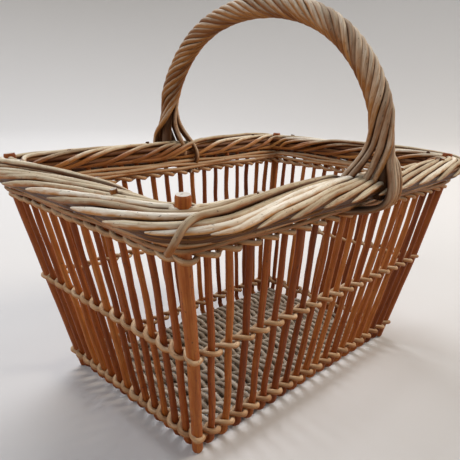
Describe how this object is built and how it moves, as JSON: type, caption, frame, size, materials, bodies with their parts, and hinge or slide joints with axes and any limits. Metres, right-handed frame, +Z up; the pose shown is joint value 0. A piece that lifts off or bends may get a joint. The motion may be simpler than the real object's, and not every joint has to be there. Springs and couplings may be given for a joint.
{
  "type": "willow basket",
  "caption": "Rectangular tapered open-sided willow basket with upright stakes, woven rows, a thick rolled border and one fixed roped bow handle.",
  "frame": {"origin": "centre of the footprint, on the floor plane that the base rests on", "axes": "+X along the long sides, +Y along the short sides from the front long wall to the back one, +Z up; the handle stands across the basket in the plane x = 0.0083 m, beside the stakes next to the middle gap"},
  "size_m": [0.4684, 0.3366, 0.3916],
  "materials": {
    "base_willow": "weathered grey-beige, dry matt",
    "stake_willow": "orange-brown willow, slight sheen",
    "fitch_willow": "pale tan willow, dry matt",
    "border_willow": "weathered cream-grey willow, dry matt",
    "handle_willow": "tan willow, slight sheen"
  },
  "bodies": {
    "root": {"base_mat": "base_willow", "base_stick_1": "base_willow", "base_stick_2": "base_willow", "base_stick_3": "base_willow", "border_back": "border_willow", "border_front": "border_willow", "border_left": "border_willow", "border_right": "border_willow", "fitch_base_inner": "fitch_willow", "fitch_base_outer": "fitch_willow", "fitch_mid_inner": "fitch_willow", "fitch_mid_outer": "fitch_willow", "fitch_top_inner": "fitch_willow", "fitch_top_outer": "fitch_willow", "handle_core": "handle_willow", "handle_strand_1": "handle_willow", "handle_strand_2": "handle_willow", "handle_strand_3": "handle_willow", "handle_strand_4": "handle_willow", "handle_strand_5": "handle_willow", "handle_strand_6": "handle_willow", "handle_strand_7": "handle_willow", "handle_strand_8": "handle_willow", "handle_strand_9": "handle_willow", "post_back_left": "stake_willow", "post_back_right": "stake_willow", "post_front_left": "stake_willow", "post_front_right": "stake_willow", "stakes_back_1": "stake_willow", "stakes_back_2": "stake_willow", "stakes_back_3": "stake_willow", "stakes_back_4": "stake_willow", "stakes_back_5": "stake_willow", "stakes_back_6": "stake_willow", "stakes_back_7": "stake_willow", "stakes_back_8": "stake_willow", "stakes_back_9": "stake_willow", "stakes_front_1": "stake_willow", "stakes_front_2": "stake_willow", "stakes_front_3": "stake_willow", "stakes_front_4": "stake_willow", "stakes_front_5": "stake_willow", "stakes_front_6": "stake_willow", "stakes_front_7": "stake_willow", "stakes_front_8": "stake_willow", "stakes_front_9": "stake_willow", "stakes_left_1": "stake_willow", "stakes_left_2": "stake_willow", "stakes_left_3": "stake_willow", "stakes_left_4": "stake_willow", "stakes_left_5": "stake_willow", "stakes_left_6": "stake_willow", "stakes_left_7": "stake_willow", "stakes_right_1": "stake_willow", "stakes_right_2": "stake_willow", "stakes_right_3": "stake_willow", "stakes_right_4": "stake_willow", "stakes_right_5": "stake_willow", "stakes_right_6": "stake_willow", "stakes_right_7": "stake_willow"}
  },
  "joints": []
}
